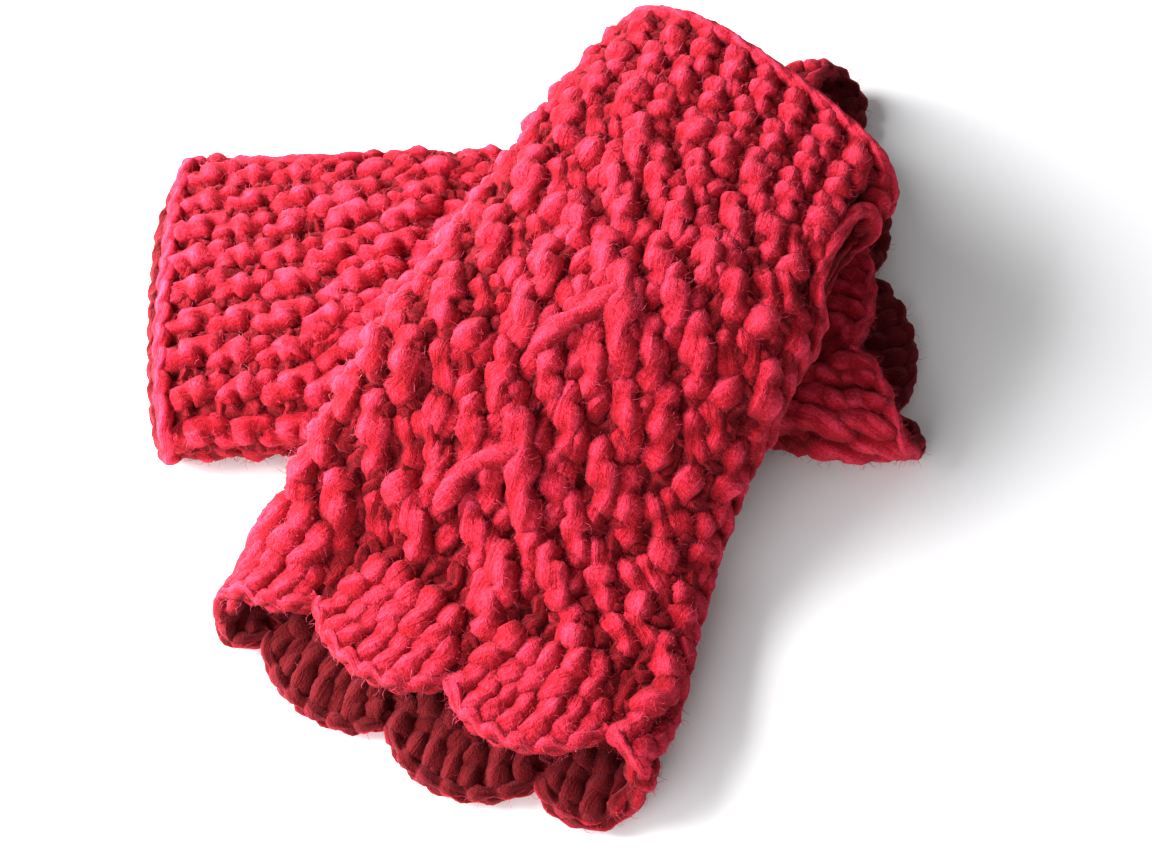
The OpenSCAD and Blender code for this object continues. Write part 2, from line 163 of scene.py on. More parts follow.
class Fabric:
    """The curved fabric of one glove, as the solids have it.

    A place on it is how far it lies along from the plain rim, a station round the section (0 and 6 at
    the seam, 1 to 2 the upper layer, 4 to 5 the under layer) and a depth from the fabric's middle.
    """

    # Share of the tube's length past which the glove widens, and the part of the dome left at the fans
    FLARE_SHARE = 0.6
    FAN_DOME = 0.7
    # Shares of the flare by which each glove's middle drifts to its seam side, and its steady shift
    LOWER_DRIFT = 0.62
    UPPER_DRIFT = 0.4
    UPPER_SHIFT = 0.0005
    # How much more the seam side of the upper glove's fan end is drawn back than the other side
    TUCK_BIAS = 0.35
    # Distances in from the lower glove's sides at which the upper one starts to come down
    NEAR_INSET = 0.016
    FAR_INSET = 0.012
    # Lengths over which the rim's corners lie back, and over which the upper glove comes down past the ends
    CORNER_RUN = 0.050
    END_RUN = 0.060
    # Height of the lower glove's cable, which the upper glove clears
    CABLE_CLEAR = 0.0031
    # How far the lower glove's under layer reaches out past the upper layer at the plain rim
    UNDER_OUT = 0.0100
    # How fast that falls off towards the side away from the seam
    UNDER_SLANT = 0.15

    def __init__(self, size, glove):
        self.size = size
        self.glove = glove
        self.half_t = size.fabric_t / 2
        self.mid_w = size.glove_w / 2 - self.half_t
        self.mid_h = size.glove_h / 2 - self.half_t
        self.full_len = size.tube_len + size.fan_depth
        self.slit_end = size.slit_from + size.slit_len
        self.flare_from = self.FLARE_SHARE * size.tube_len
        self.lower_x = -self.full_len / 2

    def widening(self, along):
        """How far the flare towards the fans has come, from 0 to 1."""
        return smooth(self.flare_from, self.full_len, along)

    def half_w(self, along, glove=None):
        glove = self.glove if glove is None else glove
        flare = self.size.upper_flare if glove == UPPER else self.size.lower_flare
        return self.mid_w + flare * self.widening(along)

    def half_h(self, along):
        swell = self.size.slit_swell * (1 - smooth(self.slit_end, self.slit_end + self.size.slit_len, along))
        return self.mid_h + swell - self.size.fan_end_drop / 2 * self.widening(along)

    def dome(self, along):
        return self.size.crown * (1 - (1 - self.FAN_DOME) * self.widening(along))

    def drift(self, along, glove=None):
        """How far the middle of the glove lies to its seam side."""
        glove = self.glove if glove is None else glove
        if glove == LOWER:
            return self.LOWER_DRIFT * self.size.lower_flare * self.widening(along)
        return self.UPPER_SHIFT + self.UPPER_DRIFT * self.size.upper_flare * self.widening(along)

    @staticmethod
    def section(station, w, h):
        """A point of the cross-section, as across and up, for a section of half width w and height h."""
        c = np.mod(station, 6)
        flat = w - h
        quarter = math.pi / 2
        zones = [c < 1, c < 2, c < 4, c < 5]
        across = [
            flat + h * np.cos(quarter * c),
            flat * (3 - 2 * c),
            -flat + h * np.cos(quarter * (c - 1)),
            flat * (2 * c - 9),
        ]
        up = [h * np.sin(quarter * c), h + 0 * c, h * np.sin(quarter * (c - 1)), -h + 0 * c]
        last = quarter * (c - 2)
        return np.select(zones, across, flat + h * np.cos(last)), np.select(zones, up, h * np.sin(last))

    @staticmethod
    def station_at(reach, w, h):
        """The station at a distance round the section, starting from the seam."""
        fold = math.pi / 2 * h
        flat = 2 * (w - h)
        p = np.mod(reach, 4 * fold + 2 * flat)
        zones = [p < fold, p < fold + flat, p < 3 * fold + flat, p < 3 * fold + 2 * flat]
        places = [
            p / fold,
            1 + (p - fold) / flat,
            2 + (p - fold - flat) / fold,
            4 + (p - 3 * fold - flat) / flat,
        ]
        return np.select(zones, places, 5 + (p - 3 * fold - 2 * flat) / fold)

    @staticmethod
    def girth(w, h):
        return 2 * math.pi * h + 4 * (w - h)

    def drape(self, x, y):
        """How high the lower glove lifts the upper one at a place."""
        along = x - self.lower_x
        held = np.clip(along, 0, self.full_len)
        across = y - self.drift(held, LOWER)
        top = 2 * (self.half_h(held) + self.half_t) + self.dome(held) + self.CABLE_CLEAR + self.size.rest_gap
        side = self.half_w(held, LOWER)
        near = side - self.NEAR_INSET
        far = side - self.FAR_INSET
        near_side = smooth(near, near + self.size.near_run, -across)
        far_side = smooth(far, far + self.size.far_run, across)
        down = np.where(across < 0, near_side, far_side)
        ends = smooth(self.full_len, self.full_len + self.END_RUN, along)
        starts = smooth(0, self.END_RUN, -along)
        return top * (1 - down) * (1 - ends) * (1 - starts)

    def askew(self, along, across, up, w, h):
        """How far a place lies along from where its station is at the middle of the glove."""
        plain = 1 - smooth(0, self.CORNER_RUN, along)
        skew = 0
        if self.glove == UPPER:
            skew = self.size.upper_skew * across * (1 - smooth(0, self.flare_from, along))
            edge = across / w
            sides = edge * edge * (1 - self.TUCK_BIAS + self.TUCK_BIAS * edge)
            skew = skew - self.size.upper_tuck * self.widening(along) * sides
        else:
            seam_side = 1 - self.UNDER_SLANT * (1 - across / w) ** 2
            skew = -self.UNDER_OUT * plain * seam_side * (1 - up / h) / 2
        corners = self.size.corner_back * plain * (across / w) ** 4
        return skew + corners - self.size.fan_lean * self.widening(along) * up / h

    def at_station(self, along, station, depth):
        """A point of the fabric, from its station round the section."""
        along, station, depth = np.broadcast_arrays(
            np.asarray(along, float), np.asarray(station, float), np.asarray(depth, float)
        )
        w = self.half_w(along) + depth
        h = self.half_h(along) + depth
        across, up = self.section(station, w, h)
        bulge = self.dome(along) * np.maximum(0, 1 - (across / w) ** 2) * np.maximum(0, up / h)
        turn = math.pi + self.size.crossing if self.glove == UPPER else 0.0
        x0, y0 = (self.size.upper_x, self.size.upper_y) if self.glove == UPPER else (self.lower_x, 0.0)
        run = along + self.askew(along, across, up, w, h)
        side = across + self.drift(along)
        x = x0 + run * math.cos(turn) - side * math.sin(turn)
        y = y0 + run * math.sin(turn) + side * math.cos(turn)
        lift = self.drape(x, y) if self.glove == UPPER else 0.0
        return np.stack([x, y, lift + self.half_h(along) + self.half_t + up + bulge], -1)

    def station(self, along, column):
        """The station of a column of stitches, counted from the seam."""
        w = self.half_w(np.asarray(along, float))
        h = self.half_h(np.asarray(along, float))
        return self.station_at(np.asarray(column, float) / COLUMNS * self.girth(w, h), w, h)

    def column_width(self, along):
        return float(self.girth(self.half_w(along), self.half_h(along))) / COLUMNS

    def point(self, along, column, depth):
        """A point of the fabric, from its column of stitches."""
        return self.at_station(along, self.station(along, column), depth)

    def upper_side(self, along, column):
        """1 on the upper layer, 0 on the under layer and smooth between them on the folds."""
        c = np.mod(self.station(along, column), 6)
        zones = [c < 1, c < 2, c < 4, c < 5]
        rising = np.clip(np.select(zones, [c, 1 + 0 * c, 3 - c, -1 + 0 * c], c - 6), -1, 1)
        return 0.5 + 0.5 * np.sin(rising * math.pi / 2)


# ---- Strands of wool ----


def add_object(name, data):
    """A new object in the scene."""
    thing = bpy.data.objects.new(name, data)
    bpy.context.scene.collection.objects.link(thing)
    return thing


class Strands:
    """Strands of wool that are swept together into one mesh."""

    # Step in depth from which the way outwards is found
    OUTWARD_STEP = 0.001

    def __init__(self, seed):
        self.random = np.random.default_rng(seed)
        self.spots = []
        self.links = []
        self.thick = []
        self.painted_shade = []
        self.turn = []
        self.outward = []

    def add(self, place, one, other, depth, thick, painted_shade, closed=False):
        """Adds a strand, held above the table. place turns its two coordinates and its depth into points."""
        points = place(one, other, depth)
        outward = place(one, other, np.asarray(depth) + self.OUTWARD_STEP) - points
        outward = outward / np.linalg.norm(outward, axis=-1, keepdims=True)
        points[..., 2] = np.maximum(points[..., 2], thick)
        first = len(self.spots)
        count = len(points)
        self.outward.extend(outward.ravel().tolist())
        self.spots.extend(points.tolist())
        self.thick.extend(np.broadcast_to(thick, count).tolist())
        self.painted_shade.extend(np.broadcast_to(painted_shade, count).tolist())
        self.turn.extend([self.random.uniform(0, 2 * math.pi)] * count)
        self.links.extend((first + n, first + n + 1) for n in range(count - 1))
        if closed:
            self.links.append((first + count - 1, first))

    def mesh_object(self, name):
        """The strands as an object of bare edges."""
        mesh = bpy.data.meshes.new(name)
        mesh.from_pydata(self.spots, self.links, [])
        for title, values in (("thick", self.thick), ("painted_shade", self.painted_shade), ("turn", self.turn)):
            mesh.attributes.new(title, "FLOAT", "POINT").data.foreach_set("value", values)
        outward = mesh.attributes.new("outward", "FLOAT_VECTOR", "POINT")
        outward.data.foreach_set("vector", self.outward)
        return add_object(name, mesh)


# Tops of stitches below this depth get more painted shade, and tops above it less, fully over this run
SHADED_BELOW = 0.0036
SHADE_RUN = 0.006


def lobe(strands, fabric, start, end, top, radius, dip, bumps=3, slim=0.62, bow=0.0):
    """One plump loop of a stitch, from start to end, each an [along, column].

    It arches up to top in bumps. Its ends are slim, as a share of its radius, and dip below the top.
    bow bends it sideways, in columns.
    """
    t = np.linspace(0, 1, 4 * bumps + 3)
    arch = np.sin(math.pi * t) ** 0.42
    beat = math.pi * (bumps * t + strands.random.uniform(-0.1, 0.1))
    bump = np.sin(beat) ** 2
    sway = strands.random.choice((-1, 1)) * 0.09 * np.cos(beat) * arch + bow * np.sin(math.pi * t)
    along = start[0] + (end[0] - start[0]) * t
    column = start[1] + (end[1] - start[1]) * t + sway
    thick = radius * strands.random.uniform(1.10, 1.24) * (slim + (1 - slim) * arch) * (0.70 + 0.30 * bump)
    depth = top - radius - dip * (1 - arch)
    # Painted shade at the slim ends, between the bumps, and more on stitches that lie low
    painted_shade = 0.70 * (1 - arch) + 0.42 * (1 - bump) * arch + (SHADED_BELOW - top) / SHADE_RUN
    strands.add(fabric.point, along, column, depth, thick, np.clip(painted_shade, 0, 1))


# ---- Node trees ----


def arithmetic(operation, swapped=False):
    """A method of Number that adds one Math node. Where it is swapped, the number itself comes second."""
    if swapped:
        return lambda self, other: self.maths(operation, other, self)
    return lambda self, *others: self.maths(operation, self, *others)


class Number:
    """A number in a node tree. Arithmetic on it adds Math nodes."""

    def __init__(self, tree, socket):
        self.tree = tree
        self.socket = socket

    def maths(self, operation, *values):
        node = self.tree.nodes.new("ShaderNodeMath")
        node.operation = operation
        for slot, value in zip(node.inputs, values):
            feed(self.tree, slot, value)
        return Number(self.tree, node.outputs[0])

    __add__ = arithmetic("ADD")
    __radd__ = arithmetic("ADD", swapped=True)
    __sub__ = arithmetic("SUBTRACT")
    __rsub__ = arithmetic("SUBTRACT", swapped=True)
    __mul__ = arithmetic("MULTIPLY")
    __truediv__ = arithmetic("DIVIDE")
    cos = arithmetic("COSINE")

    def clamped(self):
        return self.maths("MINIMUM", self.maths("MAXIMUM", self, 0.0), 1.0)


def feed(tree, slot, value):
    """Sets a socket to a value, or links it to a socket or a number."""
    if isinstance(value, Number):
        value = value.socket
    if isinstance(value, bpy.types.NodeSocket):
        tree.links.new(value, slot)
    else:
        slot.default_value = value


class Tree:
    """A node tree that is built one node a call."""

    def __init__(self, tree):
        self.tree = tree

    def node(self, kind, settings=None, sockets=None):
        """Adds a node. Its settings are set first, then its sockets, by name or by number."""
        node = self.tree.nodes.new(kind)
        for name, value in (settings or {}).items():
            setattr(node, name, value)
        for name, value in (sockets or {}).items():
            feed(self.tree, node.inputs[name], value)
        return node

    def number(self, kind, settings=None, sockets=None, output=0):
        """Adds a node and returns one of its outputs as a number."""
        return Number(self.tree, self.node(kind, settings, sockets).outputs[output])

    def vector(self, operation, *values, **named):
        """Adds a Vector Math node and returns its vector."""
        sockets = {**dict(enumerate(values)), **named}
        return self.node("ShaderNodeVectorMath", {"operation": operation}, sockets).outputs[0]

    def noise(self, place, scale, detail, **more):
        """Adds a Noise Texture and returns it as a number."""
        sockets = {"Vector": place, "Scale": scale, "Detail": detail, **more}
        return self.number("ShaderNodeTexNoise", {}, sockets)


def empty_tree(owner):
    """The node tree of a material or a world, with nothing in it."""
    owner.use_nodes = True
    owner.node_tree.nodes.clear()
    return Tree(owner.node_tree)


class GeometryTree(Tree):
    """A Geometry Nodes tree. Its inputs are given as names with their kinds."""

    def __init__(self, name, inputs):
        super().__init__(bpy.data.node_groups.new(name, "GeometryNodeTree"))
        interface = self.tree.interface
        interface.new_socket("Geometry", in_out="OUTPUT", socket_type="NodeSocketGeometry")
        interface.new_socket("Geometry", in_out="INPUT", socket_type="NodeSocketGeometry")
        for title, kind in inputs.items():
            interface.new_socket(title, in_out="INPUT", socket_type="NodeSocket" + kind)
        self.given = self.node("NodeGroupInput").outputs

    def given_number(self, name):
        return Number(self.tree, self.given[name])

    def read(self, name, kind="FLOAT"):
        """The values that a geometry carries under a name."""
        return self.node("GeometryNodeInputNamedAttribute", {"data_type": kind}, {"Name": name}).outputs[0]

    def read_number(self, name):
        return Number(self.tree, self.read(name))

    def store(self, geometry, name, value, kind="FLOAT", domain="POINT"):
        """Stores values on a geometry under a name, and returns the geometry."""
        settings = {"data_type": kind, "domain": domain}
        sockets = {"Geometry": geometry, "Name": name, "Value": value}
        return self.node("GeometryNodeStoreNamedAttribute", settings, sockets).outputs[0]

    def sweep(self, curve, profile, scale):
        """Sweeps a profile along curves, sized by scale, and returns the closed mesh."""
        sockets = {"Curve": curve, "Profile Curve": profile, "Scale": scale, "Fill Caps": True}
        return self.node("GeometryNodeCurveToMesh", sockets=sockets).outputs[0]

    def finish(self, geometry):
        """Ends the tree: realizes instances, sets the material and returns the tree's data."""
        realized = self.node("GeometryNodeRealizeInstances", sockets={0: geometry}).outputs[0]
        sockets = {"Geometry": realized, "Material": self.given["Material"]}
        dressed = self.node("GeometryNodeSetMaterial", sockets=sockets).outputs[0]
        self.node("NodeGroupOutput", sockets={0: dressed})
        return self.tree


def strand_tree():
    """Sweeps twisted yarn along every strand of the mesh.

    The yarn carries how far it is along its strand (reach), its place round it (around) and how far
    each point lies towards the outside of the glove, from -1 to 1 (rise).
    """
    inputs = {"Ring Step": "Float", "Sides": "Int", "Plies": "Int", "Ply Relief": "Float", "Twist": "Float"}
    inputs.update({"Lump Scale": "Float", "Lumps": "Float", "Material": "Material"})
    tree = GeometryTree("Wool Strands", inputs)
    given = tree.given
    thick = tree.read_number("thick")
    turn = tree.read_number("turn")
    place = tree.node("GeometryNodeInputPosition").outputs[0]

    paths = tree.node("GeometryNodeMeshToCurve", sockets={"Mesh": given["Geometry"]}).outputs[0]
    bent = tree.node("GeometryNodeCurveSplineType", {"spline_type": "CATMULL_ROM"}, {"Curve": paths})
    spaced = {"Curve": bent.outputs[0], "Length": given["Ring Step"]}
    rings = tree.node("GeometryNodeResampleCurve", {"mode": "LENGTH"}, spaced).outputs[0]
    reach = tree.number("GeometryNodeSplineParameter", output="Length")
    marked = tree.store(rings, "reach", reach)
    spun = turn + reach / tree.given_number("Twist") * (2 * math.pi)
    twisted = tree.node("GeometryNodeSetCurveTilt", sockets={"Curve": marked, "Tilt": spun}).outputs[0]
    hearted = tree.store(twisted, "heart", place, "FLOAT_VECTOR")

    round_sockets = {"Resolution": given["Sides"], "Radius": 1.0}
    circle = tree.node("GeometryNodeCurvePrimitiveCircle", sockets=round_sockets).outputs[0]
    angle = tree.number("GeometryNodeSplineParameter", output="Factor") * (2 * math.pi)
    ridge = (angle * tree.given_number("Plies")).cos()
    groove = 1.0 - tree.given_number("Ply Relief") * (1.0 - ridge)
    ring = tree.store(circle, "around", place, "FLOAT_VECTOR")
    grooved = tree.vector("SCALE", place, Scale=groove)
    profile = tree.node("GeometryNodeSetPosition", sockets={"Geometry": ring, "Position": grooved}).outputs[0]
    yarn = tree.sweep(hearted, profile, thick)

    arm = tree.vector("SUBTRACT", place, tree.read("heart", "FLOAT_VECTOR"))
    outward = tree.read("outward", "FLOAT_VECTOR")
    climb = tree.number("ShaderNodeVectorMath", {"operation": "DOT_PRODUCT"}, {0: arm, 1: outward}, output=1)
    ranked = tree.store(yarn, "rise", climb / thick)
    lump = (tree.noise(place, given["Lump Scale"], 2.0) - 0.5) * tree.given_number("Lumps")
    offset = tree.vector("SCALE", tree.node("GeometryNodeInputNormal").outputs[0], Scale=lump)
    uneven = tree.node("GeometryNodeSetPosition", sockets={"Geometry": ranked, "Offset": offset}).outputs[0]
    return tree.finish(tree.node("GeometryNodeSetShadeSmooth", sockets={0: uneven}).outputs[0])


def fuzz_tree():
    """Grows short loose fibres on the strands of the mesh and keeps only the fibres."""
    # Fibres grow where a strand's painted shade, less its rise, is this little, and this high over the table,
    # so that none go through it
    sunk_limit, table_gap = 0.35, 0.0030
    # How far towards the outside a fibre counts as lying, which gives it the painted light of a strand's top
    fibre_rise = 0.8
    inputs = {"Density": "Float", "Fibre Length": "Float", "Fibre Radius": "Float", "Seed": "Int"}
    tree = GeometryTree("Wool Fuzz", {**inputs, "Material": "Material"})
    given = tree.given
    painted_shade = tree.read_number("painted_shade")
    rise = tree.read_number("rise")
    place = tree.node("GeometryNodeInputPosition").outputs[0]
    height = tree.number("ShaderNodeSeparateXYZ", sockets={"Vector": place}, output="Z")
    high = tree.node("FunctionNodeCompare", {"operation": "GREATER_THAN"}, {0: height, 1: table_gap})
    shallow = tree.node("FunctionNodeCompare", {"operation": "LESS_THAN"}, {0: painted_shade - rise, 1: sunk_limit})
    both = {0: high.outputs[0], 1: shallow.outputs[0]}
    shown = tree.node("FunctionNodeBooleanMath", {"operation": "AND"}, both)
    roots = tree.node(
        "GeometryNodeDistributePointsOnFaces",
        {"distribute_method": "RANDOM"},
        {
            "Mesh": given["Geometry"],
            "Selection": shown.outputs[0],
            "Density": given["Density"],
            "Seed": given["Seed"],
        },
    )
    line = tree.node(
        "GeometryNodeCurvePrimitiveBezierSegment",
        {"mode": "POSITION"},
        {
            "Resolution": 3,
            "Start": (0.0, 0.0, 0.0),
            "Start Handle": (0.0, 0.0, 0.45),
            "End Handle": (0.35, 0.1, 0.75),
            "End": (0.85, 0.25, 0.70),
        },
    )
    share = tree.number("GeometryNodeSplineParameter", output="Factor")
    slim = tree.given_number("Fibre Radius") / tree.given_number("Fibre Length") * (1.0 - share * 0.7)
    ring = tree.node("GeometryNodeCurvePrimitiveCircle", sockets={"Resolution": 3, "Radius": 1.0})
    fibre = tree.sweep(line.outputs[0], ring.outputs[0], slim)
    lean = tree.node(
        "FunctionNodeRandomValue",
        {"data_type": "FLOAT_VECTOR"},
        {0: (-0.9, -0.9, -math.pi), 1: (0.9, 0.9, math.pi), "Seed": 3},
    ).outputs[0]
    turned = tree.node(
        "FunctionNodeRotateEuler",
        {"space": "LOCAL", "rotation_type": "EULER"},
        {"Rotation": roots.outputs["Rotation"], "Rotate By": lean},
    ).outputs[0]
    sizes = {2: 0.35, 3: 1.0, "Seed": 5}
    size = tree.number("FunctionNodeRandomValue", {"data_type": "FLOAT"}, sizes, output=1)
    grown = tree.node(
        "GeometryNodeInstanceOnPoints",
        sockets={
            "Points": roots.outputs["Points"],
            "Instance": fibre,
            "Rotation": turned,
            "Scale": size * tree.given_number("Fibre Length"),
        },
    )
    return tree.finish(tree.store(grown.outputs[0], "rise", fibre_rise, domain="INSTANCE"))


def run_tree(holder, tree, values):
    """Runs a Geometry Nodes tree on an object and returns the result as a plain mesh."""
    modifier = holder.modifiers.new(tree.name, "NODES")
    modifier.node_group = tree
    for item in tree.interface.items_tree:
        if item.in_out == "INPUT" and item.name in values:
            modifier[item.identifier] = values[item.name]
    evaluated = holder.evaluated_get(bpy.context.evaluated_depsgraph_get())
    mesh = bpy.data.meshes.new_from_object(evaluated)
    mesh.materials.clear()
    mesh.materials.append(values["Material"])
    holder.modifiers.remove(modifier)
    bpy.data.objects.remove(holder)
    return mesh


def dress(name, mesh, glove, slot, *nodes):
    """Makes a piece from a finished mesh, on its glove and in place of its solids."""
    mesh.name = name
    piece = add_object(name, mesh)
    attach(piece, GLOVES[glove] + "_glove")
    if nodes:
        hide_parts(*nodes)
    return piece


# Ring steps and sides of the coarser mesh of strands that lie behind the stitches
HIDDEN_STEPS = 1.8
HIDDEN_SIDES = 8
FIRST_FUZZ_SEED = 7


def sweep(strands, name, glove, slot, *nodes, hidden=False):
    """Sweeps yarn along strands. Hidden ones get a coarser mesh."""
    look = bpy.context.scene.wool_look
    tree = bpy.data.node_groups.get("Wool Strands") or strand_tree()
    values = {
        "Ring Step": look.ring_step * (HIDDEN_STEPS if hidden else 1.0),
        "Sides": HIDDEN_SIDES if hidden else look.sides,
        "Plies": look.plies,
        "Ply Relief": look.ply_relief,
        "Twist": look.twist,
        "Lump Scale": look.lump_scale,
        "Lumps": look.lumps,
        "Material": wool_material(slot),
    }
    mesh = run_tree(strands.mesh_object(name + "_paths"), tree, values)
    return dress(name, mesh, glove, slot, *nodes)


def grow_fuzz(piece, glove, slot, crops=1):
    """Adds the loose fibres that stand off a finished piece, as one piece a crop."""
    look = bpy.context.scene.wool_look
    tree = bpy.data.node_groups.get("Wool Fuzz") or fuzz_tree()
    for crop in range(crops):
        values = {
            "Density": look.fuzz_density / crops,
            "Fibre Length": look.fuzz_length,
            "Fibre Radius": look.fuzz_radius,
            "Seed": FIRST_FUZZ_SEED + crop,
            "Material": wool_material(slot),
        }
        holder = add_object(piece.name + "_base", piece.data.copy())
        dress(f"{piece.name}_fuzz_{crop + 1}", run_tree(holder, tree, values), glove, slot)


# ---- Wool ----


# How light each slot's wool is, the rims' lighter as a painted highlight on their rolled edges and the seam's
# a little darker, and how much of the painted shade between the stitches it takes
SLOT_SHADES = {"wool": (1.0, 1.0), "rim_wool": (1.12, 0.75), "seam_wool": (0.92, 1.0)}
# Scales of the fibres' lines: round a strand, where its ring has a radius of 1, and for a metre along it
FIBRES_ROUND = 3.2
FIBRES_ALONG = 90.0
# Tone of the wool, the deep painted-shade tint at 0 and the bright painted-highlight tint at 1: half way up a
# strand, painted light gained outwards and painted shade in a groove
TONE_MIDDLE = 0.30
PAINTED_LIGHT_RISE = 0.55
PAINTED_GROOVE_SHADE = 0.14
# Shares of the fibres, the fluff, the grain and the dye in the mottle of that tone
MOTTLE = (0.5, 0.55, 0.35, 0.35)
# Shares of the fibres, the fluff and the grain in the wool's fine relief, and what a groove takes from it
RELIEF = (0.4, 0.35, 0.35)
RELIEF_GROOVE = 0.35


def fibre_lines(tree, around, reach, place):
    """Noise drawn out along the yarn, which differs from strand to strand."""
    lifted = tree.node("ShaderNodeCombineXYZ", sockets={"Z": reach * FIBRES_ALONG}).outputs[0]
    ring = tree.vector("SCALE", around, Scale=FIBRES_ROUND)
    drawn = tree.vector("ADD", ring, lifted)
    drift = tree.vector("SCALE", place, Scale=40.0)
    return tree.noise(tree.vector("ADD", drawn, drift), 1.5, 3.0, Roughness=0.6)


def weighted(numbers, shares):
    """The sum of numbers in a node tree, each times its share."""
    total = None
    for number, share in zip(numbers, shares):
        total = number * share if total is None else total + number * share
    return total


def wool_material(slot):
    """The wool, with painted shade between the stitches and in its ply grooves and a painted highlight
    towards the outside, with a mottle of fluff.
    """
    name = slot + "_yarn"
    if name in bpy.data.materials:
        return bpy.data.materials[name]
    look = bpy.context.scene.wool_look
    material = bpy.data.materials.new(name)
    tree = empty_tree(material)

    def carried(title):
        return tree.number("ShaderNodeAttribute", {"attribute_name": title}, output="Fac")

    around = tree.node("ShaderNodeAttribute", {"attribute_name": "around"}).outputs["Vector"]
    reach = carried("reach")
    painted_shade = carried("painted_shade")
    place = tree.node("ShaderNodeTexCoord").outputs["Object"]
    fibres = fibre_lines(tree, around, reach, place)
    fluff = tree.noise(place, 900.0, 3.0)
    grain = tree.noise(place, 2300.0, 2.0)
    dye = tree.noise(place, 60.0, 2.0)
    # lightness lifts the rims' wool as a painted highlight, and shade scales the painted shade between the
    # stitches
    lightness, shade = SLOT_SHADES[slot]
    rise = carried("rise")
    sides = tree.node("ShaderNodeSeparateXYZ", sockets={0: around}).outputs
    angle = tree.number("ShaderNodeMath", {"operation": "ARCTAN2"}, {0: sides[1], 1: sides[0]})
    groove = (1.0 - (angle * float(look.plies)).cos()) * 0.5
    # Painted shade where the strands carry it, as much as the slot takes, and in the ply grooves, and painted
    # light towards the outside of the glove
    shown = (1.0 - painted_shade * shade) * (rise * PAINTED_LIGHT_RISE + TONE_MIDDLE) - groove * PAINTED_GROOVE_SHADE
    mottle = weighted((noise - 0.5 for noise in (fibres, fluff, grain, dye)), MOTTLE)
    painted_light_and_mottle = (shown + mottle).clamped()
    tints = (look.deep, look.mid, look.bright)
    deep, mid, bright = (tuple(c * lightness for c in tint) + (1.0,) for tint in tints)
    first_half = {"Factor": (painted_light_and_mottle * 2.0).clamped(), 6: deep, 7: mid}
    low = tree.node("ShaderNodeMix", {"data_type": "RGBA"}, first_half).outputs[2]
    second_half = {"Factor": (painted_light_and_mottle * 2.0 - 1.0).clamped(), 6: low, 7: bright}
    tone = tree.node("ShaderNodeMix", {"data_type": "RGBA"}, second_half).outputs[2]
    height = weighted((fibres, fluff, grain), RELIEF) - groove * RELIEF_GROOVE
    bump = tree.node("ShaderNodeBump", {}, {"Strength": 1.0, "Distance": 0.0016, "Height": height}).outputs[0]
    shader = tree.node(
        "ShaderNodeBsdfPrincipled",
        {},
        {
            "Base Color": tone,
            "Roughness": 0.85 + fluff * 0.15,
            "Normal": bump,
            "Specular IOR Level": 0.12,
            "Subsurface Weight": look.glow,
            "Subsurface Radius": (1.0, 0.20, 0.12),
            "Subsurface Scale": 0.0022,
            "Sheen Weight": look.sheen,
            "Sheen Roughness": 0.55,
            "Sheen Tint": (1.0, 0.20, 0.30, 1.0),
        },
    )
    tree.node("ShaderNodeOutputMaterial", sockets={"Surface": shader.outputs[0]})
    return material


# ---- The closed layer of loops behind the stitches ----


def layer_mesh(name, outer, inner, closed, skip=None):
    """A closed sheet between two skins, each a grid of rows of points. skip says which cells are left out."""
    rows, cols = outer.shape[:2]
    cells = cols if closed else cols - 1
    spots = np.concatenate([outer.reshape(-1, 3), inner.reshape(-1, 3)])
    shift = rows * cols
    faces = []

    def kept(i, j):
        if i < 0 or i >= rows - 1:
            return False
        if not closed and (j < 0 or j >= cells):
            return False
        return skip is None or not skip(i, j % cols)

    for i in range(rows - 1):
        for j in range(cells):
            if not kept(i, j):
                continue
            a, b = i * cols + j, i * cols + (j + 1) % cols
            d, c = a + cols, b + cols
            faces.append((a, d, c, b))
            faces.append((a + shift, b + shift, c + shift, d + shift))
            sides = (((i - 1, j), a, b), ((i + 1, j), c, d), ((i, j - 1), d, a), ((i, j + 1), b, c))
            for beside, start, end in sides:
                if not kept(*beside):
                    faces.append((start, end, end + shift, start + shift))
    mesh = bpy.data.meshes.new(name)
    mesh.from_pydata(spots.tolist(), [], faces)
    mesh.polygons.foreach_set("use_smooth", [True] * len(mesh.polygons))
    return mesh


# Painted shade of the ground behind the stitches, and behind the fans' stitches
GROUND_PAINTED_SHADE = 0.75
FAN_GROUND_PAINTED_SHADE = 0.60


def finish_ground(mesh, painted_shade):
    """Gives a ground its painted shade and the wool."""
    mesh.attributes.new("painted_shade", "FLOAT", "POINT").data.foreach_set("value", [painted_shade] * len(mesh.vertices))
    mesh.materials.append(wool_material("wool"))
    return mesh


def ground_depths(fabric, along, column):
    """How deep the two skins of the ground lie, with the small loops that show inside the glove."""
    loops = np.cos(2 * math.pi * column) * np.cos(4 * math.pi * along / fabric.size.row_len)
    return 0.0004 + 0.0004 * loops, -0.0029 - 0.0005 * loops


def build_ground(fabric):
    """The ground of the whole tube, with a hole at the thumb slit."""
    size = fabric.size
    rows = np.linspace(0.0015, size.tube_len + 0.002, 96)
    cols = np.arange(0, COLUMNS, 0.2)
    along, column = np.meshgrid(rows, cols, indexing="ij")
    high, low = ground_depths(fabric, along, column)
    stations = fabric.station(along, column)

    def in_slit(i, j):
        half_cell, half_hole = 0.05, 0.76
        middle = (rows[i] + rows[i + 1]) / 2
        station = (stations[i, j] + 3) % 6 - 3 + half_cell
        return size.slit_from < middle < fabric.slit_end and abs(station) < half_hole

    outer = fabric.point(along, column, high)
    inner = fabric.point(along, column, low)
    return finish_ground(layer_mesh("ground", outer, inner, True, in_slit), GROUND_PAINTED_SHADE)


# ---- Worked sections ----


